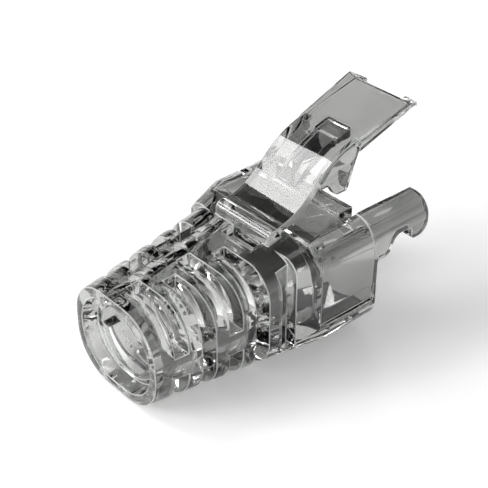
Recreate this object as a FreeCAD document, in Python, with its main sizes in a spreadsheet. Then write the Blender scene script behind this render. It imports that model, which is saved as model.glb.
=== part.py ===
import FreeCAD, Part
import math
import os
import re

import Sketcher

# Strain relief boot for a modular data plug: one clear moulding in millimetres.
# The cable runs along Y and leaves towards -Y, the plug goes in from +Y and Z is up.
# The body is drawn from its front ring and then moved, so that the origin is the
# centre of the round cable bore where the oval mouth ends.

doc = FreeCAD.newDocument("boot")
sheet = doc.addObject("Spreadsheet::Sheet", "Sizes")


# Sizes

SIZES = {
    # ringed sleeve, from the front ring to the housing
    "ring_front_width": 9.36,
    "ring_front_height": 8.14,
    "ring_front_round": 3.4,
    "neck_width": 12.0,
    "neck_top": 4.8,
    "neck_bottom": 4.2,
    "neck_round": 2.4,
    "first_ring": 1.65,
    "ring": 1.15,
    "gap": 1.15,
    "ring_count": 5,
    "groove_depth": 0.9,
    # bridges that join the rings
    "odd_bridge_edge": 0.5,
    "even_bridge_edge": 0.7,
    "bridge_end": 3.0,
    "side_bridge": 0.9,
    "last_bridge_inner": 2.3,
    "last_bridge_outer": 5.06,
    "last_bridge_far": 0.9,
    # cable entry
    "mouth_width": 8.08,
    "mouth_height": 6.9,
    "mouth_taper": 0.35,
    "mouth_depth": 1.2,
    "bore_radius": 3.15,
    # housing
    "collar_width": 12.16,
    "collar_round": 1.35,
    "ramp_length": 2.8,
    "housing_width": 13.9,
    "housing_top": 5.57,
    "housing_bottom": 3.6,
    "housing_round": 1.9,
    "housing_length": 4.85,
    # plug socket and the space for the fanned wires
    "plug_width": 11.68,
    "plug_height": 6.6,
    "plug_clearance": 0.1,
    "socket_roof": 1.07,
    "socket_depth": 5.2,
    "socket_round": 0.4,
    "fan_width": 9.4,
    "fan_round": 2.6,
    # roof and side details
    "ledge_width": 1.7,
    "ledge_step": 0.35,
    "ledge_front": 1.7,
    "ledge_rear": 1.45,
    "notch_rear": 2.0,
    "notch_length": 0.9,
    "notch_depth": 0.25,
    "relief_width": 0.9,
    "side_step": 0.3,
    "side_step_top": 0.15,
    "side_step_height": 1.5,
    "side_step_end": 0.35,
    # latch flap, a bent strip that springs up from the hinge bar
    "flap_width": 5.8,
    "flap_thickness": 0.6,
    "flap_inset": 0.6,
    "flap_rise": 0.2,
    "root_slope": 13.9,
    "root_run": 2.3,
    "steep_slope": 43.4,
    "steep_run": 3.6,
    "tip_slope": 13.8,
    "tip_run": 7.95,
    "root_bend": 6.0,
    "tip_bend": 8.0,
    "hinge_width": 6.0,
    "hinge_radius": 0.6,
    "hinge_rise": 0.12,
    "hinge_foot": 0.3,
    # curled lips beside the flap's tip
    "lip_start": 2.3,
    "lip_start_inset": 0.35,
    "lip_start_reach": 0.45,
    "lip_start_rise": -0.35,
    "lip_end_inset": 0.95,
    "lip_end_reach": 0.6,
    "lip_end_rise": 0.25,
    "ear_length": 0.5,
    "ear_reach": 0.4,
    "ear_rise": -0.17,
    "lip_thickness": 0.4,
    "lip_sink": 0.1,
    # feet under the flap's bend
    "foot_thickness": 0.65,
    "foot_front": 1.3,
    "foot_heel": 0.5,
    "foot_rear": 1.65,
    "foot_flare": 1.4,
    "foot_drop": 3.45,
    "foot_step": 1.1,
    "foot_round": 0.4,
    # presser under the flap's bend, a block at the end of a rib
    "presser_width": 2.4,
    "presser_front": 2.1,
    "presser_length": 1.5,
    "presser_drop": 1.2,
    "presser_step": 0.25,
    "presser_round": 0.3,
    "rib_width": 1.9,
    "rib_run": 1.9,
    "rib_drop": 0.65,
    # arms beside the latch
    "arm_length": 5.5,
    "arm_root": 0.6,
    "arm_flat": 0.15,
    "arm_wall": 0.95,
    "arm_rise": 0.1,
    "arm_bottom": 1.6,
    "arm_round": 0.8,
    "arm_root_height": 2.0,
    "arm_waist": 3.6,
    "arm_waist_start": 1.15,
    "arm_waist_end": 1.9,
    "hook_length": 1.85,
    "hook_drop": 1.15,
    "hook_round": 1.1,
    "arm_end_round": 0.45,
}

for row, (alias, value) in enumerate(SIZES.items(), start=1):
    sheet.set("A%d" % row, alias.replace("_", " "))
    sheet.set("B%d" % row, str(value))
    sheet.setAlias("B%d" % row, alias)
doc.recompute()


def bound(text):
    """The expression with each size's name pointed at its cell in the sheet."""
    return re.sub(r"\b[a-z][a-z_]+\b(?!\()", lambda name: "Sizes." + name.group(0), text)


def size(text):
    """The value of an expression in the sheet's names."""
    return float(sheet.evalExpression(bound(text)))


# Places along Y, from the front face of the first ring

COLLAR = "(first_ring + gap + (ring_count - 1) * (ring + gap))"
SHOULDER = "(%s + ramp_length)" % COLLAR
REAR = "(%s + housing_length)" % SHOULDER
SOCKET_FRONT = "(%s - socket_depth)" % REAR
FAN_FRONT = "(first_ring + gap + ring)"

# Inner edge of each arm, and of the relief beside it
ARM_EDGE = "(housing_width / 2 - housing_round - arm_flat)"

# Sides of the plug socket
SOCKET_HALF = "(plug_width / 2 + plug_clearance)"
SOCKET_TOP = "(housing_top - socket_roof)"
SOCKET_BOTTOM = "(%s - plug_height - 2 * plug_clearance)" % SOCKET_TOP

# Corners of the flap's upper side, as places along Y and heights
ROOT = ("(%s + flap_inset)" % COLLAR, "(housing_top + flap_rise)")
ELBOW = ("(%s + root_run)" % ROOT[0], "(%s + root_run * tan(root_slope))" % ROOT[1])
BEND = ("(%s + steep_run)" % ELBOW[0], "(%s + steep_run * tan(steep_slope))" % ELBOW[1])
TIP = ("(%s + tip_run)" % BEND[0], "(%s + tip_run * tan(tip_slope))" % BEND[1])

# A length that runs out of the moulding from anywhere in it
OUTSIDE = "(2 * housing_width)"


# Sketches and features

boot = doc.addObject("PartDesign::Body", "boot")
boot.Label = "boot"


def sketch(name, plane, offset):
    """An empty sketch on one of the body's origin planes, moved along its normal."""
    flat = boot.newObject("Sketcher::SketchObject", name)
    for feature in boot.Origin.OriginFeatures:
        if feature.Role == plane:
            flat.AttachmentSupport = [(feature, "")]
    flat.MapMode = "FlatFace"
    flat.setExpression("AttachmentOffset.Base.z", bound(offset))
    return flat


def place_point(flat, geometry, position, across, up):
    """Two dimensions that hold a point at a place given by expressions."""
    for kind, text in (("DistanceX", across), ("DistanceY", up)):
        index = flat.addConstraint(Sketcher.Constraint(kind, -1, 1, geometry, position, size(text)))
        flat.setExpression("Constraints[%d]" % index, bound(text))


def outline(flat, corners):
    """A closed outline of straight edges, with round corners where a radius is given."""
    points = [FreeCAD.Vector(size(corner[0]), size(corner[1]), 0) for corner in corners]
    count = len(corners)
    ends = []
    arcs = []
    for index in range(count):
        here = points[index]
        back = (points[index - 1] - here).normalize()
        ahead = (points[(index + 1) % count] - here).normalize()
        if len(corners[index]) < 3:
            ends.append((here, here))
            arcs.append(None)
            continue
        radius = size(corners[index][2])
        half_angle = back.getAngle(ahead) / 2
        reach = radius / math.tan(half_angle)
        middle = (back + ahead).normalize()
        centre = here + middle * (radius / math.sin(half_angle))
        first = here + back * reach
        last = here + ahead * reach
        mid = centre - middle * radius
        ends.append((first, last))
        arcs.append(Part.Arc(first, mid, last))
    lines = []
    for index in range(count):
        start = ends[index][1]
        finish = ends[(index + 1) % count][0]
        lines.append(flat.addGeometry(Part.LineSegment(start, finish), False))
    for index in range(count):
        before = lines[index - 1]
        after = lines[index]
        across, up = corners[index][:2]
        if arcs[index] is None:
            flat.addConstraint(Sketcher.Constraint("Coincident", before, 2, after, 1))
            place_point(flat, after, 1, across, up)
            continue
        arc = flat.addGeometry(arcs[index], False)
        turn = (points[index] - points[index - 1]).cross(points[(index + 1) % count] - points[index]).z
        first, last = (1, 2) if turn > 0 else (2, 1)
        corner = flat.addGeometry(Part.Point(points[index]), True)
        flat.addConstraint(Sketcher.Constraint("Tangent", before, 2, arc, first))
        flat.addConstraint(Sketcher.Constraint("Tangent", after, 1, arc, last))
        flat.addConstraint(Sketcher.Constraint("PointOnObject", corner, 1, before))
        flat.addConstraint(Sketcher.Constraint("PointOnObject", corner, 1, after))
        place_point(flat, corner, 1, across, up)
        radius = flat.addConstraint(Sketcher.Constraint("Radius", arc, size(corners[index][2])))
        flat.setExpression("Constraints[%d]" % radius, bound(corners[index][2]))
    return flat


def rectangle(flat, left, right, bottom, top, radius=None):
    """A rectangle between four expressions, with four equal round corners."""
    rounding = [] if radius is None else [radius]
    corners = [[left, bottom], [right, bottom], [right, top], [left, top]]
    return outline(flat, [corner + rounding for corner in corners])


def section(name, along, width, bottom, top, radius):
    """A rounded rectangle across the cable's axis, centred on it from side to side."""
    flat = sketch(name, "XZ_Plane", "-" + along)
    return rectangle(flat, "-(%s) / 2" % width, "(%s) / 2" % width, bottom, top, radius)


def loft(kind, name, first, *others):
    """A straight loft through two or more sections that adds to the body or cuts it."""
    feature = boot.newObject("PartDesign::" + kind, name)
    feature.Profile = first
    feature.Sections = list(others)
    feature.Ruled = True
    feature.Refine = False
    doc.recompute()
    return feature


def extrude(kind, name, flat, length, both_ways=False, backwards=False):
    """A pad or a pocket of one sketch."""
    feature = boot.newObject("PartDesign::" + kind, name)
    feature.Profile = flat
    feature.setExpression("Length", bound(length))
    feature.Midplane = both_ways
    feature.Reversed = backwards
    feature.Refine = False
    doc.recompute()
    return feature


def mirror(name, *features):
    """The same features again on the other side of the boot."""
    feature = boot.newObject("PartDesign::Mirrored", name)
    feature.Originals = list(features)
    feature.Refine = False
    for plane in boot.Origin.OriginFeatures:
        if plane.Role == "YZ_Plane":
            feature.MirrorPlane = (plane, [""])
    boot.Tip = feature
    doc.recompute()
    return feature


# Ringed sleeve

def add_sleeve():
    front = section("SleeveFront", "0", "ring_front_width", "-ring_front_height / 2",
                    "ring_front_height / 2", "ring_front_round")
    neck = section("SleeveNeck", COLLAR, "neck_width", "-neck_bottom", "neck_top", "neck_round")
    loft("AdditiveLoft", "Sleeve", front, neck)


# Housing: a ramp out of the neck and a straight box with round corners

def add_housing():
    collar = section("CollarSection", COLLAR, "collar_width", "-housing_bottom", "neck_top", "collar_round")
    shoulder = section("ShoulderSection", SHOULDER, "housing_width", "-housing_bottom", "housing_top",
                       "housing_round")
    loft("AdditiveLoft", "Ramp", collar, shoulder)
    box = section("HousingSection", SHOULDER, "housing_width", "-housing_bottom", "housing_top",
                  "housing_round")
    extrude("Pad", "Housing", box, "housing_length", backwards=True)


# Cable way: an oval mouth, the round bore, and a space where the wires fan out to the socket

def cut_cable_way():
    face = section("MouthFace", "0", "mouth_width", "-mouth_height / 2", "mouth_height / 2",
                   "mouth_height / 2 - 0.1")
    ledge = section("MouthLedge", "mouth_depth", "mouth_width - 2 * mouth_taper",
                    "mouth_taper / 2 - mouth_height / 2", "mouth_height / 2 - mouth_taper / 2",
                    "mouth_height / 2 - mouth_taper / 2 - 0.1")
    loft("SubtractiveLoft", "Mouth", face, ledge)
    circle = sketch("BoreCircle", "XZ_Plane", "0")
    circle.addGeometry(Part.Circle(FreeCAD.Vector(), FreeCAD.Vector(0, 0, 1), size("bore_radius")), False)
    circle.addConstraint(Sketcher.Constraint("Coincident", 0, 3, -1, 1))
    radius = circle.addConstraint(Sketcher.Constraint("Radius", 0, size("bore_radius")))
    circle.setExpression("Constraints[%d]" % radius, bound("bore_radius"))
    extrude("Pocket", "CableBore", circle, FAN_FRONT)
    narrow = section("FanFront", FAN_FRONT, "2 * bore_radius", "-bore_radius", "bore_radius",
                     "bore_radius - 0.1")
    wide = section("FanRear", SOCKET_FRONT, "fan_width", SOCKET_BOTTOM, "neck_top - socket_roof",
                   "fan_round")
    loft("SubtractiveLoft", "WireFan", narrow, wide)
    socket = sketch("SocketSection", "XZ_Plane", "-" + REAR)
    rectangle(socket, "-" + SOCKET_HALF, SOCKET_HALF, SOCKET_BOTTOM, SOCKET_TOP, "socket_round")
    extrude("Pocket", "PlugSocket", socket, "socket_depth", backwards=True)


# Gaps between the rings: open quarters, shallow grooves, and flush bridges left between them

def gap_sketch(index):
    """The sketch plane of one gap, and the half width and heights of the tube inside its groove."""
    front = "(first_ring + %d * (ring + gap))" % index
    share = "(%s / %s)" % (front, COLLAR)
    side = "(ring_front_width / 2 + (neck_width - ring_front_width) / 2 * %s - groove_depth)" % share
    top = "(ring_front_height / 2 + (neck_top - ring_front_height / 2) * %s - groove_depth)" % share
    bottom = "(ring_front_height / 2 + (neck_bottom - ring_front_height / 2) * %s - groove_depth)" % share
    return sketch("Gap%dSection" % (index + 1), "XZ_Plane", "-" + front), side, top, bottom


def cut_odd_gap(index):
    """Two opposite quarters are open and the other two keep a thin wall under a groove."""
    flat, side, top, bottom = gap_sketch(index)
    tube_round = "(ring_front_round - groove_depth)"
    rectangle(flat, "-odd_bridge_edge", OUTSIDE, "side_bridge", OUTSIDE)
    rectangle(flat, "-" + OUTSIDE, "odd_bridge_edge", "-" + OUTSIDE, "-side_bridge")
    outline(flat, [("-bridge_end", OUTSIDE), ("-" + OUTSIDE, OUTSIDE), ("-" + OUTSIDE, "side_bridge"),
                   ("-" + side, "side_bridge"), ("-" + side, top, tube_round), ("-bridge_end", top)])
    outline(flat, [("bridge_end", "-" + OUTSIDE), (OUTSIDE, "-" + OUTSIDE), (OUTSIDE, "-side_bridge"),
                   (side, "-side_bridge"), (side, "-" + bottom, tube_round),
                   ("bridge_end", "-" + bottom)])
    extrude("Pocket", "Gap%d" % (index + 1), flat, "gap")


def cut_even_gap(index):
    """Both sides are open from the bridge on top to the bridge below."""
    flat = gap_sketch(index)[0]
    outline(flat, [("even_bridge_edge", OUTSIDE), ("even_bridge_edge", "0"), ("bridge_end", "0"),
                   ("bridge_end", "-" + OUTSIDE), (OUTSIDE, "-" + OUTSIDE), (OUTSIDE, OUTSIDE)])
    outline(flat, [("-even_bridge_edge", "-" + OUTSIDE), ("-even_bridge_edge", "0"),
                   ("-bridge_end", "0"), ("-bridge_end", OUTSIDE), ("-" + OUTSIDE, OUTSIDE),
                   ("-" + OUTSIDE, "-" + OUTSIDE)])
    extrude("Pocket", "Gap%d" % (index + 1), flat, "gap")


def cut_last_gap(index):
    """A groove in front of the housing, crossed by two bridges on top and two below."""
    flat, side, top, bottom = gap_sketch(index)
    rectangle(flat, "last_bridge_outer", OUTSIDE, "-" + OUTSIDE, OUTSIDE)
    rectangle(flat, "-" + OUTSIDE, "-last_bridge_outer", "-" + OUTSIDE, OUTSIDE)
    rectangle(flat, "-last_bridge_far", "last_bridge_inner", top, OUTSIDE)
    rectangle(flat, "-last_bridge_inner", "last_bridge_far", "-" + OUTSIDE, "-" + bottom)
    extrude("Pocket", "Gap%d" % (index + 1), flat, "gap")


def cut_gaps():
    last = int(size("ring_count")) - 1
    for index in range(last):
        if index % 2 == 0:
            cut_odd_gap(index)
        else:
            cut_even_gap(index)
    cut_last_gap(last)


# Roof and sides of the housing

def cut_roof():
    """The roof is lower between two ledges, with reliefs behind it beside the arms."""
    floor = sketch("RoofFloor", "XY_Plane", "housing_top - ledge_step")
    half = "(housing_width / 2 - ledge_width)"
    rectangle(floor, "-" + half, half, COLLAR + " + ledge_front", REAR + " - ledge_rear")
    extrude("Pocket", "RoofRecess", floor, OUTSIDE, backwards=True)
    notch = sketch("LedgeNotchSection", "XY_Plane", "housing_top - notch_depth")
    rectangle(notch, half, OUTSIDE, REAR + " - notch_rear - notch_length", REAR + " - notch_rear")
    ledge_notch = extrude("Pocket", "LedgeNotch", notch, OUTSIDE, backwards=True)
    slot = sketch("ArmReliefSection", "XY_Plane", SOCKET_TOP + " - plug_clearance")
    rectangle(slot, ARM_EDGE + " - relief_width", ARM_EDGE, REAR + " - ledge_rear", REAR + " + ledge_rear")
    relief = extrude("Pocket", "ArmRelief", slot, OUTSIDE, backwards=True)
    mirror("OtherRoofCuts", ledge_notch, relief)


def cut_sides():
    """A shallow step along each side."""
    band = sketch("SideStepSection", "YZ_Plane", "housing_width / 2 - side_step")
    rectangle(band, COLLAR, REAR + " - side_step_end", "side_step_top - side_step_height", "side_step_top")
    step = extrude("Pocket", "SideStep", band, OUTSIDE, backwards=True)
    mirror("OtherSideStep", step)


# Latch flap

def under(corner, before, after):
    """The corner of the flap's underside below a corner of its upper side."""
    mean = "((%s + %s) / 2)" % (before, after)
    reach = "(flap_thickness / cos((%s - %s) / 2))" % (before, after)
    return ("(%s + %s * sin(%s))" % (corner[0], reach, mean),
            "(%s - %s * cos(%s))" % (corner[1], reach, mean))


def tip_height(along):
    """The height of the flap's upper side at a place behind its bend."""
    return "(%s + (%s - %s) * tan(tip_slope))" % (BEND[1], along, BEND[0])


def tip_core(along):
    """A point half way through the flap's thickness behind its bend."""
    return (along, "(%s - flap_thickness / 2 / cos(tip_slope))" % tip_height(along))


def steep_core(run):
    """A point half way through the flap's thickness, a run in front of its bend."""
    return ("(%s - %s)" % (BEND[0], run),
            "(%s - %s * tan(steep_slope) - flap_thickness / 2 / cos(steep_slope))" % (BEND[1], run))


def bend_core():
    """The point half way through the flap's thickness in the middle of its upper bend."""
    turn = "(steep_slope - tip_slope) / 2"
    lean = "(steep_slope + tip_slope) / 2"
    depth = "(tip_bend / cos(%s) - tip_bend + flap_thickness / 2)" % turn
    return ("(%s + %s * sin(%s))" % (BEND[0], depth, lean), "(%s - %s * cos(%s))" % (BEND[1], depth, lean))


def add_flap():
    """The strip in side view, bent twice, and the bar with a round top that it springs from."""
    low_root = (ROOT[0], "(%s - flap_thickness)" % ROOT[1])
    low_elbow = under(ELBOW, "root_slope", "steep_slope")
    low_bend = under(BEND, "steep_slope", "tip_slope")
    low_tip = under(TIP, "tip_slope", "tip_slope")
    strip = sketch("FlapProfile", "YZ_Plane", "0")
    outline(strip, [ROOT, low_root, low_elbow + ("root_bend + flap_thickness",),
                    low_bend + ("tip_bend - flap_thickness",), low_tip, TIP,
                    BEND + ("tip_bend",), ELBOW + ("root_bend",)])
    extrude("Pad", "Flap", strip, "flap_width", both_ways=True)
    bar = sketch("HingeProfile", "YZ_Plane", "0")
    front = ROOT[0] + " - hinge_radius"
    rear = ROOT[0] + " + hinge_radius"
    top = ROOT[1] + " + hinge_rise"
    outline(bar, [(front, "neck_top - hinge_foot"), (rear, "neck_top - hinge_foot"),
                  (rear, top, "hinge_radius * 0.9"), (front, top, "hinge_radius * 0.9")])
    extrude("Pad", "HingeBar", bar, "hinge_width", both_ways=True)


def lip_section(name, along, inset, reach, rise):
    """One end of a lip: it leaves the strip's upper side and climbs outwards."""
    flat = sketch(name, "XZ_Plane", "-" + along)
    inner = "(flap_width / 2 - %s)" % inset
    outer = "(flap_width / 2 + %s)" % reach
    level = tip_height(along)
    outline(flat, [(inner, level + " - lip_sink"), (inner, level + " - lip_thickness"),
                   (outer, level + " + %s - lip_thickness" % rise), (outer, level + " + " + rise)])
    return flat


def add_lips():
    """Each lip widens from the bend to the tip, and ends in a short ear past the strip's end."""
    start = lip_section("LipStart", "(%s + lip_start)" % BEND[0], "lip_start_inset", "lip_start_reach",
                        "lip_start_rise")
    end = lip_section("LipEnd", TIP[0], "lip_end_inset", "lip_end_reach", "lip_end_rise")
    ear = lip_section("LipEar", "(%s + ear_length)" % TIP[0], "lip_end_inset", "ear_reach", "ear_rise")
    mirror("OtherLip", loft("AdditiveLoft", "Lip", start, end, ear))


def add_feet():
    """A foot under each side of the bend, which rests on the roof when the flap is pressed."""
    flat = sketch("FootProfile", "YZ_Plane", "flap_width / 2 - foot_thickness")
    sole = "(%s - foot_drop)" % BEND[1]
    outline(flat, [(BEND[0] + " - foot_front", sole + " + foot_step"),
                   (BEND[0] + " - foot_heel / 2", sole + " + foot_step"),
                   (BEND[0] + " + foot_heel", sole, "foot_round"),
                   (BEND[0] + " + foot_rear", sole, "foot_round"),
                   tip_core("(%s + foot_rear + foot_flare)" % BEND[0]),
                   bend_core(),
                   steep_core("foot_front")])
    mirror("OtherFoot", extrude("Pad", "Foot", flat, "foot_thickness"))


def add_presser():
    """The block that presses the plug's latch, and the narrower rib that runs down to it."""
    front = "(%s + presser_front)" % BEND[0]
    heel = "(%s + presser_length)" % front
    sole = "(%s - presser_drop)" % tip_height(front)
    block = sketch("PresserBlock", "YZ_Plane", "0")
    outline(block, [tip_core(front), (front, sole, "presser_round"), (heel, sole, "presser_round"),
                    tip_core(heel)])
    extrude("Pad", "Presser", block, "presser_width", both_ways=True)
    rib = sketch("PresserRibProfile", "YZ_Plane", "0")
    along, up = steep_core("rib_run")
    middle = "(%s + presser_length / 2)" % front
    outline(rib, [(along, up), (along, up + " - rib_drop"), (middle, sole + " + presser_step"),
                  tip_core(middle), bend_core()])
    extrude("Pad", "PresserRib", rib, "rib_width", both_ways=True)


# Arms beside the latch, each a continuation of the housing's upper corner with a hooked end

def add_arms():
    half = "(housing_width / 2)"
    top = "(housing_top + arm_rise)"
    corner = sketch("ArmSection", "XZ_Plane", "arm_root - " + REAR)
    outline(corner, [(ARM_EDGE, top), (ARM_EDGE, top + " - arm_wall"),
                     (half + " - arm_wall", top + " - arm_wall", "housing_round - arm_wall"),
                     (half + " - arm_wall", "arm_bottom"), (half, "arm_bottom", "arm_round"),
                     (half, top, "housing_round")])
    arm = extrude("Pad", "Arm", corner, "arm_root + arm_length", backwards=True)
    side = sketch("ArmOutline", "YZ_Plane", ARM_EDGE + " - arm_wall / 2")
    end = "(%s + arm_length)" % REAR
    hook = "(%s - hook_length)" % end
    over = "(%s + plug_clearance / 2)" % top
    outline(side, [(REAR, "arm_root_height"),
                   (REAR + " + arm_waist_start", "arm_root_height", "arm_round"),
                   (REAR + " + arm_waist_end", "arm_waist", "arm_round"),
                   (hook, "arm_waist", "hook_drop / 3"),
                   (hook, "arm_waist - hook_drop", "hook_drop / 3"),
                   (end, "arm_waist - hook_drop", "hook_round"),
                   (end, over, "arm_end_round"),
                   (end + " - 2 * hook_round", over),
                   (end + " - 2 * hook_round", over + " + housing_round"),
                   (end + " + housing_round", over + " + housing_round"),
                   (end + " + housing_round", "0"), (REAR, "0")])
    shape = extrude("Pocket", "ArmShape", side, OUTSIDE, backwards=True)
    mirror("OtherArm", arm, shape)


add_sleeve()
add_housing()
cut_cable_way()
cut_gaps()
cut_roof()
cut_sides()
add_flap()
add_lips()
add_feet()
add_presser()
add_arms()

# The origin moves from the front face to the inner end of the oval mouth
boot.setExpression("Placement.Base.y", bound("-mouth_depth"))
doc.recompute()


# Checks and export

for item in doc.Objects:
    if "Invalid" in item.State or "Error" in item.State:
        raise RuntimeError("%s could not be built" % item.Label)
if boot.Shape.isNull() or not boot.Shape.isValid() or len(boot.Shape.Solids) != 1:
    raise RuntimeError("the boot is not one valid solid")

os.makedirs("parts", exist_ok=True)
boot.Shape.exportStep(os.path.join("parts", boot.Label + ".step"))
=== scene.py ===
import math

import bpy
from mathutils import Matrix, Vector


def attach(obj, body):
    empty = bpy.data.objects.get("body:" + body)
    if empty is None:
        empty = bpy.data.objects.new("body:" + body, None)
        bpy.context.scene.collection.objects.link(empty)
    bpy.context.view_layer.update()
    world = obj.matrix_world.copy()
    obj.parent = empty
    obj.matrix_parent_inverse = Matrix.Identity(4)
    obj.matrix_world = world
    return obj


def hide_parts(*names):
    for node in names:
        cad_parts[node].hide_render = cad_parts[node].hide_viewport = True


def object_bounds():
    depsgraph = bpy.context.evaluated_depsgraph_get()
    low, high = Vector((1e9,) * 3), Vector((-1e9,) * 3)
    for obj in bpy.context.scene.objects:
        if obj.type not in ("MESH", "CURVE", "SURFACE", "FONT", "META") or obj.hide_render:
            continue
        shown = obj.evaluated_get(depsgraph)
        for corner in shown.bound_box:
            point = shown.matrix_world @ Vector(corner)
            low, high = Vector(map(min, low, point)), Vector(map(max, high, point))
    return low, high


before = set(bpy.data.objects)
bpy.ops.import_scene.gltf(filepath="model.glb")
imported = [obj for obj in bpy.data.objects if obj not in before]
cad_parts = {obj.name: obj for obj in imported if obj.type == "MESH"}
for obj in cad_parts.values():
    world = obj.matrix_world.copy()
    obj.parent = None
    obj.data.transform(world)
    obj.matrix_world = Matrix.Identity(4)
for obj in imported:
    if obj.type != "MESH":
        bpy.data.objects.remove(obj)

cad_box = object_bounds()
scene = bpy.context.scene
scene.view_settings.view_transform = "Standard"


# The moulding
# One piece of clear, faintly smoked polycarbonate, injection moulded in a polished tool.
# Its edges are slightly broken, and every one carries a thin pale line, a painted highlight.

SMOOTH = {"interpolation_type": "SMOOTHSTEP"}
TIMES = {"operation": "MULTIPLY"}


def linear(hex_colour):
    """An sRGB hex colour as the linear colour that a shader takes."""
    channels = [int(hex_colour[i:i + 2], 16) / 255 for i in (1, 3, 5)]
    return [c / 12.92 if c <= 0.04045 else ((c + 0.055) / 1.055) ** 2.4
            for c in channels] + [1.0]


def add_node(material, kind, settings=None, inputs=None, links=None):
    """A shader node with its settings, its socket values and its incoming links."""
    node = material.node_tree.nodes.new(kind)
    for name, value in (settings or {}).items():
        setattr(node, name, value)
    for socket, value in (inputs or {}).items():
        node.inputs[socket].default_value = value
    for socket, source in (links or {}).items():
        material.node_tree.links.new(source, node.inputs[socket])
    return node


def empty_material(name):
    """A material without nodes."""
    material = bpy.data.materials.new(name)
    material.use_nodes = True
    material.node_tree.nodes.clear()
    return material


# Polished polycarbonate, as moulded: sharp reflections, bent a little by the faint ripple
# of a moulded face, on a grey tint with painted light on the sleeve and painted shade in places
POLYCARBONATE_IOR = 1.585
POLISH_ROUGHNESS = 0.02
RIPPLE_SIZE = 0.0012
RIPPLE_DETAIL = 2.0
RIPPLE_DEPTH = 0.00001
RIPPLE_STRENGTH = 0.15

clear_plastic = empty_material("clear_polycarbonate_moulded")
place = add_node(clear_plastic, "ShaderNodeTexCoord")
flow = add_node(clear_plastic, "ShaderNodeTexNoise",
                inputs={"Scale": 1 / RIPPLE_SIZE, "Detail": RIPPLE_DETAIL},
                links={"Vector": place.outputs["Object"]})
ripple = add_node(clear_plastic, "ShaderNodeBump",
                  inputs={"Strength": RIPPLE_STRENGTH, "Distance": RIPPLE_DEPTH},
                  links={"Height": flow.outputs["Fac"]})
along = add_node(clear_plastic, "ShaderNodeSeparateXYZ",
                 links={"Vector": place.outputs["Object"]})

# Painted light: the sleeve is tinted lighter, grading to the housing's tint along the collar
SLEEVE_TINT_PAINTED_LIGHT = "#BEBFBD"
HOUSING_SMOKE = "#A6A7A5"
HOUSING_START = 0.0085
HOUSING_FULL = 0.0125

toward_housing = add_node(clear_plastic, "ShaderNodeMapRange", SMOOTH,
                 inputs={"From Min": HOUSING_START, "From Max": HOUSING_FULL},
                 links={"Value": along.outputs["Y"]})
tint_with_sleeve_light = add_node(clear_plastic, "ShaderNodeMixRGB",
                      inputs={"Color1": linear(SLEEVE_TINT_PAINTED_LIGHT), "Color2": linear(HOUSING_SMOKE)},
                      links={"Fac": toward_housing.outputs["Result"]})

# Painted shade: the arms behind the housing are tinted darker, up to just under the flap
ARM_PAINTED_SHADE = "#858684"
ARM_START = 0.0195
ARM_FULL = 0.0215
ARM_TOP = 0.0072
FLAP_UNDER = 0.0080

rear = add_node(clear_plastic, "ShaderNodeMapRange", SMOOTH,
                inputs={"From Min": ARM_START, "From Max": ARM_FULL},
                links={"Value": along.outputs["Y"]})
below = add_node(clear_plastic, "ShaderNodeMapRange",
                 inputs={"From Min": FLAP_UNDER, "From Max": ARM_TOP},
                 links={"Value": along.outputs["Z"]})
arms = add_node(clear_plastic, "ShaderNodeMath", TIMES,
                links={0: rear.outputs["Result"], 1: below.outputs["Result"]})
tint_with_arm_shade = add_node(clear_plastic, "ShaderNodeMixRGB", inputs={"Color2": linear(ARM_PAINTED_SHADE)},
                     links={"Fac": arms.outputs["Value"],
                            "Color1": tint_with_sleeve_light.outputs["Color"]})

# Painted shade: the housing's roof is tinted darker still, in a thin layer at its height
ROOF_PAINTED_SHADE = "#6C6D6B"
ROOF_START = 0.0040
ROOF_FULL = 0.0043
ROOF_TOP = 0.0049
ROOF_END = 0.0053

above = add_node(clear_plastic, "ShaderNodeMapRange",
                 inputs={"From Min": ROOF_START, "From Max": ROOF_FULL},
                 links={"Value": along.outputs["Z"]})
under = add_node(clear_plastic, "ShaderNodeMapRange",
                 inputs={"From Min": ROOF_END, "From Max": ROOF_TOP},
                 links={"Value": along.outputs["Z"]})
layer = add_node(clear_plastic, "ShaderNodeMath", TIMES,
                 links={0: above.outputs["Result"], 1: under.outputs["Result"]})
roof = add_node(clear_plastic, "ShaderNodeMath", TIMES,
                links={0: layer.outputs["Value"], 1: toward_housing.outputs["Result"]})
tint_with_roof_shade = add_node(clear_plastic, "ShaderNodeMixRGB", inputs={"Color2": linear(ROOF_PAINTED_SHADE)},
                      links={"Fac": roof.outputs["Value"],
                             "Color1": tint_with_arm_shade.outputs["Color"]})

# Painted shade: the presser and its rib are tinted darkest. They hang in the middle of the
# flap's tip, below a plane that slopes as the tip does.
PRESSER_PAINTED_SHADE = "#3A3B3A"
PRESSER_SIDE = 0.00122
PRESSER_CLEAR = 0.00130
PRESSER_START = 0.0176
PRESSER_FULL = 0.0184
PRESSER_TILT = (0.0, -0.2456, 1.0)
PRESSER_UNDER = 0.00478
PRESSER_SEAT = 0.00484

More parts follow.
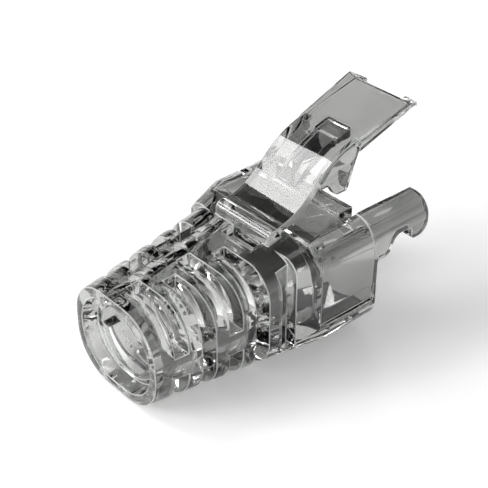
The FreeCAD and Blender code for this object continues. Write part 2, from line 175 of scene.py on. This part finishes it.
aside = add_node(clear_plastic, "ShaderNodeMath", {"operation": "ABSOLUTE"},
                 links={0: along.outputs["X"]})
middle = add_node(clear_plastic, "ShaderNodeMapRange",
                  inputs={"From Min": PRESSER_CLEAR, "From Max": PRESSER_SIDE},
                  links={"Value": aside.outputs["Value"]})
beyond = add_node(clear_plastic, "ShaderNodeMapRange",
                  inputs={"From Min": PRESSER_START, "From Max": PRESSER_FULL},
                  links={"Value": along.outputs["Y"]})
hang = add_node(clear_plastic, "ShaderNodeVectorMath", {"operation": "DOT_PRODUCT"},
                inputs={1: PRESSER_TILT}, links={0: place.outputs["Object"]})
hung = add_node(clear_plastic, "ShaderNodeMapRange",
                inputs={"From Min": PRESSER_SEAT, "From Max": PRESSER_UNDER},
                links={"Value": hang.outputs["Value"]})
rib = add_node(clear_plastic, "ShaderNodeMath", TIMES,
               links={0: middle.outputs["Result"], 1: beyond.outputs["Result"]})
presser = add_node(clear_plastic, "ShaderNodeMath", TIMES,
                   links={0: rib.outputs["Value"], 1: hung.outputs["Result"]})
tint_with_painted_light_and_shade = add_node(clear_plastic, "ShaderNodeMixRGB", inputs={"Color2": linear(PRESSER_PAINTED_SHADE)},
                 links={"Fac": presser.outputs["Value"],
                        "Color1": tint_with_roof_shade.outputs["Color"]})

polished = add_node(clear_plastic, "ShaderNodeBsdfPrincipled",
                    inputs={"Roughness": POLISH_ROUGHNESS, "IOR": POLYCARBONATE_IOR,
                            "Transmission Weight": 1.0},
                    links={"Base Color": tint_with_painted_light_and_shade.outputs["Color"],
                           "Normal": ripple.outputs["Normal"]})
add_node(clear_plastic, "ShaderNodeOutputMaterial", links={"Surface": polished.outputs["BSDF"]})

# The same plastic on the broken edges and the cut sides of the flap's root, finely
# frosted and painted near white, a painted highlight that reads as pale lines. The grit is
# drawn as coarse as the edge is wide, because real grit is too fine to show.
EDGE_PAINTED_HIGHLIGHT = "#F1F2F0"
EDGE_ROUGHNESS = 0.4
EDGE_CLARITY = 0.7
GRIT_SIZE = 0.00006
GRIT_DETAIL = 1.0
GRIT_DEPTH = 0.00001
GRIT_STRENGTH = 0.15

frosted_edge_with_highlight = empty_material("frosted_polycarbonate_edge_painted_highlight")
place = add_node(frosted_edge_with_highlight, "ShaderNodeTexCoord")
grit = add_node(frosted_edge_with_highlight, "ShaderNodeTexNoise",
                inputs={"Scale": 1 / GRIT_SIZE, "Detail": GRIT_DETAIL},
                links={"Vector": place.outputs["Object"]})
tooth = add_node(frosted_edge_with_highlight, "ShaderNodeBump",
                 inputs={"Strength": GRIT_STRENGTH, "Distance": GRIT_DEPTH},
                 links={"Height": grit.outputs["Fac"]})
frost_and_highlight = add_node(frosted_edge_with_highlight, "ShaderNodeBsdfPrincipled",
                 inputs={"Base Color": linear(EDGE_PAINTED_HIGHLIGHT), "Roughness": EDGE_ROUGHNESS,
                         "IOR": POLYCARBONATE_IOR, "Transmission Weight": EDGE_CLARITY},
                 links={"Normal": tooth.outputs["Normal"]})
add_node(frosted_edge_with_highlight, "ShaderNodeOutputMaterial", links={"Surface": frost_and_highlight.outputs["BSDF"]})

# The solid's loose triangles are merged, and its slivers are dissolved before the edges
# are broken, because a sliver folds over there
MERGE_WITHIN = 0.000002
SLIVER_WIDTH = 0.00002
EDGE_BREAK = 0.00006
EDGE_STEPS = 2
EDGE_ANGLE = math.radians(24)
FROSTED_HIGHLIGHT_SLOT = 1

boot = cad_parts["boot"].copy()
boot.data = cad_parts["boot"].data.copy()
boot.name = "boot_moulding"
boot.parent = None
scene.collection.objects.link(boot)
bpy.ops.object.select_all(action="DESELECT")
boot.select_set(True)
bpy.context.view_layer.objects.active = boot
bpy.ops.object.mode_set(mode="EDIT")
bpy.ops.mesh.select_all(action="SELECT")
bpy.ops.mesh.remove_doubles(threshold=MERGE_WITHIN)
bpy.ops.mesh.dissolve_degenerate(threshold=SLIVER_WIDTH)
bpy.ops.object.mode_set(mode="OBJECT")
boot.data.materials.clear()
boot.data.materials.append(clear_plastic)
boot.data.materials.append(frosted_edge_with_highlight)
bevel = boot.modifiers.new("broken_edges", "BEVEL")
bevel.width = EDGE_BREAK
bevel.segments = EDGE_STEPS
bevel.limit_method = "ANGLE"
bevel.angle_limit = EDGE_ANGLE
bevel.use_clamp_overlap = False
bevel.loop_slide = False
# The bevel's new faces take the pale edge material, a painted highlight
bevel.material = FROSTED_HIGHLIGHT_SLOT
bpy.ops.object.modifier_apply(modifier=bevel.name)

# The flap's root shows its cut sides above the hinge bar and up to the bend; they take the
# painted highlight
SIDEWAYS = 0.9
ROOT_ASIDE = 0.0028
ROOT_ABOVE = 0.0057
ROOT_UNTIL = 0.0156

for face in boot.data.polygons:
    on_side = abs(face.normal.x) > SIDEWAYS and abs(face.center.x) > ROOT_ASIDE
    if on_side and face.center.z > ROOT_ABOVE and face.center.y < ROOT_UNTIL:
        face.material_index = FROSTED_HIGHLIGHT_SLOT
bpy.ops.object.shade_smooth_by_angle(angle=EDGE_ANGLE)
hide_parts("boot")
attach(boot, "root")


# Floor
# A plain sheet of white paper that the boot lies on, far larger than the view. The lift
# brings it to white where the camera or the plastic sees it, and lights nothing else.

FLOOR_SIZE = 1.2
PAPER_WHITE = "#FFFFFF"
PAPER_ROUGHNESS = 0.9
PAPER_SHEEN = 0.1
PAPER_LIFT = 0.13
LARGER = {"operation": "MAXIMUM"}

low = Vector(cad_box[0])
bpy.ops.object.select_all(action="DESELECT")
bpy.ops.mesh.primitive_plane_add(size=FLOOR_SIZE, location=(0, 0, low.z))
floor = bpy.context.object
floor.name = "paper_floor"
bpy.ops.object.transform_apply(location=True, rotation=True, scale=True)
paper = empty_material("white_paper")
matte = add_node(paper, "ShaderNodeBsdfPrincipled",
                 inputs={"Base Color": linear(PAPER_WHITE), "Roughness": PAPER_ROUGHNESS,
                         "Specular IOR Level": PAPER_SHEEN})
seen = add_node(paper, "ShaderNodeLightPath")
direct = add_node(paper, "ShaderNodeMath", LARGER,
                  links={0: seen.outputs["Is Camera Ray"], 1: seen.outputs["Is Glossy Ray"]})
through = add_node(paper, "ShaderNodeMath", LARGER,
                   links={0: direct.outputs["Value"],
                          1: seen.outputs["Is Transmission Ray"]})
lift = add_node(paper, "ShaderNodeMath", TIMES, inputs={1: PAPER_LIFT},
                links={0: through.outputs["Value"]})
lifted = add_node(paper, "ShaderNodeEmission", links={"Strength": lift.outputs["Value"]})
both = add_node(paper, "ShaderNodeAddShader",
                links={0: matte.outputs["BSDF"], 1: lifted.outputs["Emission"]})
add_node(paper, "ShaderNodeOutputMaterial", links={"Surface": both.outputs["Shader"]})
floor.data.materials.append(paper)


# Light
# A white studio, bright at the horizon and dark overhead, with a dark flag that the roof
# mirrors. Five soft boxes draw the highlights, and the flap's stripe mirrors key_left.

SKY_WHITE = "#FFFFFF"
HORIZON_GLOW = 2.0
OVERHEAD_GLOW = 0.08
OVERHEAD_FROM = 0.75
FLAG_TOWARD = (-0.62, 0.55, 0.56)
FLAG_START = 0.80
FLAG_FULL = 0.93
FLAG_GLOW = 0.02

world = bpy.data.worlds.new("studio")
scene.world = world
world.use_nodes = True
world.node_tree.nodes.clear()
direction = add_node(world, "ShaderNodeTexCoord")
parts = add_node(world, "ShaderNodeSeparateXYZ",
                 links={"Vector": direction.outputs["Generated"]})
fade = add_node(world, "ShaderNodeMapRange",
                inputs={"From Min": 0.0, "From Max": OVERHEAD_FROM,
                        "To Min": HORIZON_GLOW, "To Max": OVERHEAD_GLOW},
                links={"Value": parts.outputs["Z"]})
toward_flag = add_node(world, "ShaderNodeVectorMath", {"operation": "DOT_PRODUCT"},
                       inputs={1: FLAG_TOWARD}, links={0: direction.outputs["Generated"]})
flag = add_node(world, "ShaderNodeMapRange", SMOOTH,
                inputs={"From Min": FLAG_START, "From Max": FLAG_FULL,
                        "To Min": 1.0, "To Max": FLAG_GLOW},
                links={"Value": toward_flag.outputs["Value"]})
glow = add_node(world, "ShaderNodeMath", TIMES,
                links={0: fade.outputs["Result"], 1: flag.outputs["Result"]})
sky = add_node(world, "ShaderNodeBackground", inputs={"Color": linear(SKY_WHITE)},
               links={"Strength": glow.outputs["Value"]})
add_node(world, "ShaderNodeOutputWorld", links={"Surface": sky.outputs["Background"]})


def soft_box(name, place, size, power):
    """A rectangular area lamp aimed at the boot's cable end."""
    data = bpy.data.lights.new(name, "AREA")
    data.shape = "RECTANGLE"
    data.size, data.size_y = size
    data.energy = power
    lamp = bpy.data.objects.new(name, data)
    lamp.location = place
    lamp.rotation_euler = (-Vector(place)).to_track_quat("-Z", "Y").to_euler()
    scene.collection.objects.link(lamp)


soft_box("key_left", (-0.149, -0.060, 0.180), (0.085, 0.06), 0.135)
soft_box("front_left", (-0.13, -0.208, 0.104), (0.14, 0.14), 0.60)
soft_box("low_back", (-0.16, 0.17, 0.075), (0.05, 0.05), 0.08)
soft_box("rear_top", (0.043, 0.132, 0.199), (0.05, 0.05), 0.025)
soft_box("overhead", (-0.06, 0.0, 0.23), (0.12, 0.12), 0.07)


# Camera
# It looks down on the cable entry and the near side of the boot, from about 90 mm away.
# Its lens is given in pixels of the square picture.

CAMERA_PLACE = Vector((0.05792, -0.03960, 0.05531))
CAMERA_AZIMUTH = math.radians(48.83)
CAMERA_ELEVATION = math.radians(34.0)
FRAME_PIXELS = 488
FOCAL_PIXELS = 1233
SENSOR_WIDTH = 36
NEAREST_SEEN = 0.001

view = bpy.data.cameras.new("camera")
view.sensor_width = SENSOR_WIDTH
view.lens = FOCAL_PIXELS / FRAME_PIXELS * SENSOR_WIDTH
view.clip_start = NEAREST_SEEN
camera = bpy.data.objects.new("camera", view)
camera.location = CAMERA_PLACE
camera.rotation_euler = (math.pi / 2 - CAMERA_ELEVATION, 0, CAMERA_AZIMUTH)
scene.collection.objects.link(camera)
scene.camera = camera
